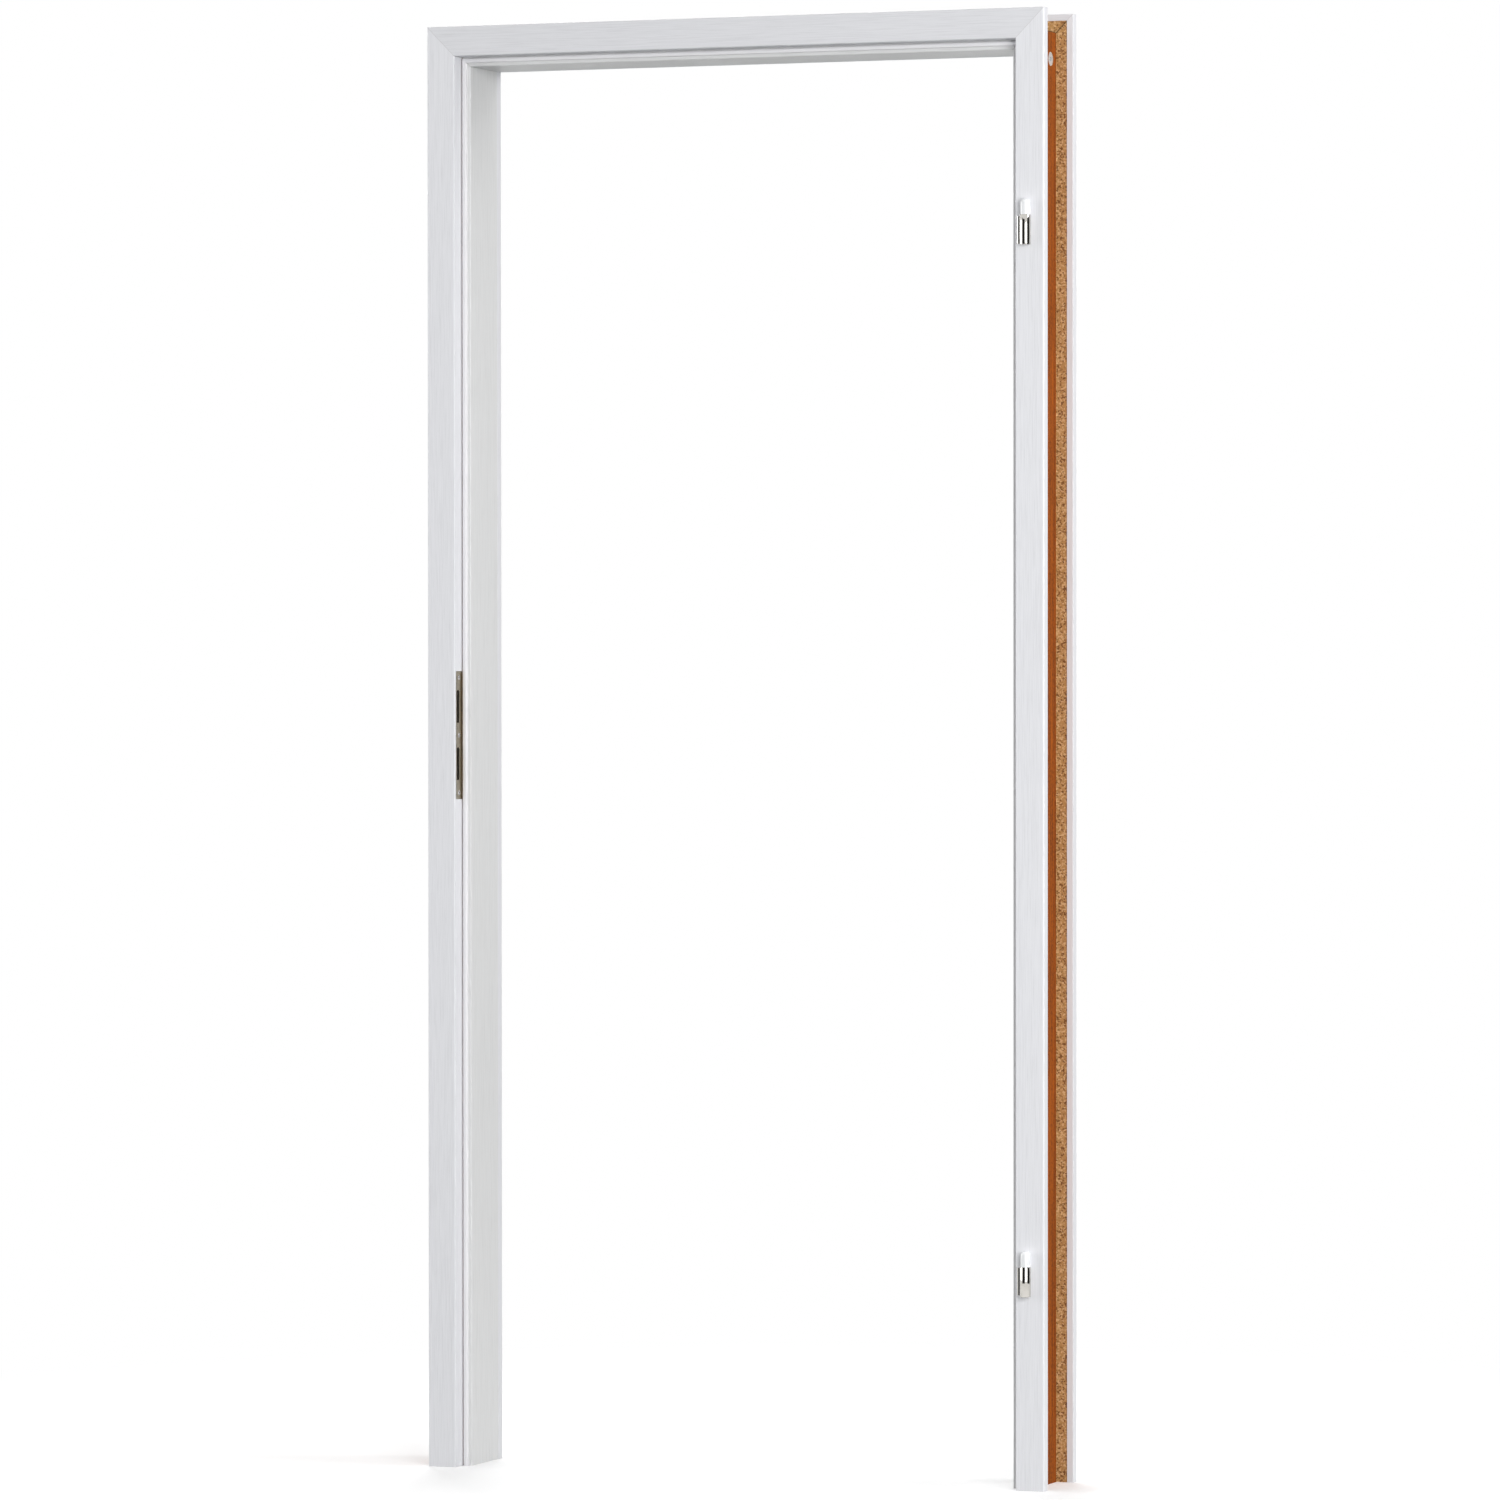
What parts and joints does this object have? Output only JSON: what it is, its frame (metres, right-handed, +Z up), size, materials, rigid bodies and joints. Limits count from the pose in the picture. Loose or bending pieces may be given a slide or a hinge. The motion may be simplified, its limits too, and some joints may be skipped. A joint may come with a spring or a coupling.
{
  "type": "door frame",
  "caption": "Rebated wooden door frame for one hinged leaf: mitred lining between front and back casings, with seal, strike plate and hinge frame parts.",
  "frame": {"origin": "on the floor, in the middle of the frame's width and of its whole depth with the hinge barrels counted", "axes": "+X across the opening towards the hinge leg, +Y from the rebate side to the trim side, +Z up"},
  "size_m": [0.925, 0.1456, 2.025],
  "materials": {
    "casing_foil": "chipboard wrapped in satin white foil with a fine upright grain",
    "casing_foil_head": "chipboard wrapped in satin white foil with a fine grain along the head",
    "lining_board": "chipboard with white foil on the seen faces and brown backing paper on the wall face",
    "lining_board_head": "chipboard with white foil on the seen faces and brown backing paper on the wall face, grain along the head",
    "trim_foil": "chipboard wrapped in satin white foil, raw on the wall side inside its lip",
    "trim_foil_head": "chipboard wrapped in satin white foil along the head, raw on the wall side inside its lip",
    "tongue_strip": "raw fibreboard strip",
    "seal_soft": "soft cream-white thermoplastic seal",
    "strike_steel": "satin nickel-plated sheet steel",
    "screw_steel": "bright zinc-plated steel",
    "hinge_nickel": "polished nickel-plated steel",
    "sleeve_plastic": "smooth white plastic",
    "connector_zinc": "die-cast zinc, bright and slightly matt",
    "dowel_beech": "plain beech"
  },
  "bodies": {
    "frame": {"rebate_casing_left": "casing_foil", "rebate_casing_right": "casing_foil", "rebate_casing_head": "casing_foil_head", "lining_left": "lining_board", "lining_right": "lining_board", "lining_head": "lining_board_head", "seal_left": "seal_soft", "seal_right": "seal_soft", "seal_head": "seal_soft", "strike_plate": "strike_steel", "strike_screws": "screw_steel", "hinge_upper": "hinge_nickel", "hinge_lower": "hinge_nickel", "hinge_pin_upper": "screw_steel", "hinge_pin_lower": "screw_steel", "hinge_sleeve_upper": "sleeve_plastic", "hinge_sleeve_lower": "sleeve_plastic", "hinge_receiver_upper": "connector_zinc", "hinge_receiver_lower": "connector_zinc", "hinge_grubs_upper": "screw_steel", "hinge_grubs_lower": "screw_steel", "leg_cams_left": "connector_zinc", "leg_cams_right": "connector_zinc", "head_cams_left": "connector_zinc", "head_cams_right": "connector_zinc", "elbow_bolts_left": "screw_steel", "elbow_bolts_right": "screw_steel", "lining_dowel_left": "dowel_beech", "lining_dowel_right": "dowel_beech", "rebate_casing_dowel_left": "dowel_beech", "rebate_casing_dowel_right": "dowel_beech"},
    "trim": {"trim_casing_left": "trim_foil", "trim_casing_right": "trim_foil", "trim_casing_head": "trim_foil_head", "tongue_left": "tongue_strip", "tongue_right": "tongue_strip", "tongue_head": "tongue_strip", "trim_casing_dowel_left": "dowel_beech", "trim_casing_dowel_right": "dowel_beech"}
  },
  "joints": [
    {"name": "trim_slide", "type": "slide", "parent": "frame", "child": "trim", "axis": [0, 1, 0], "range_m": [0, 0.015]}
  ]
}
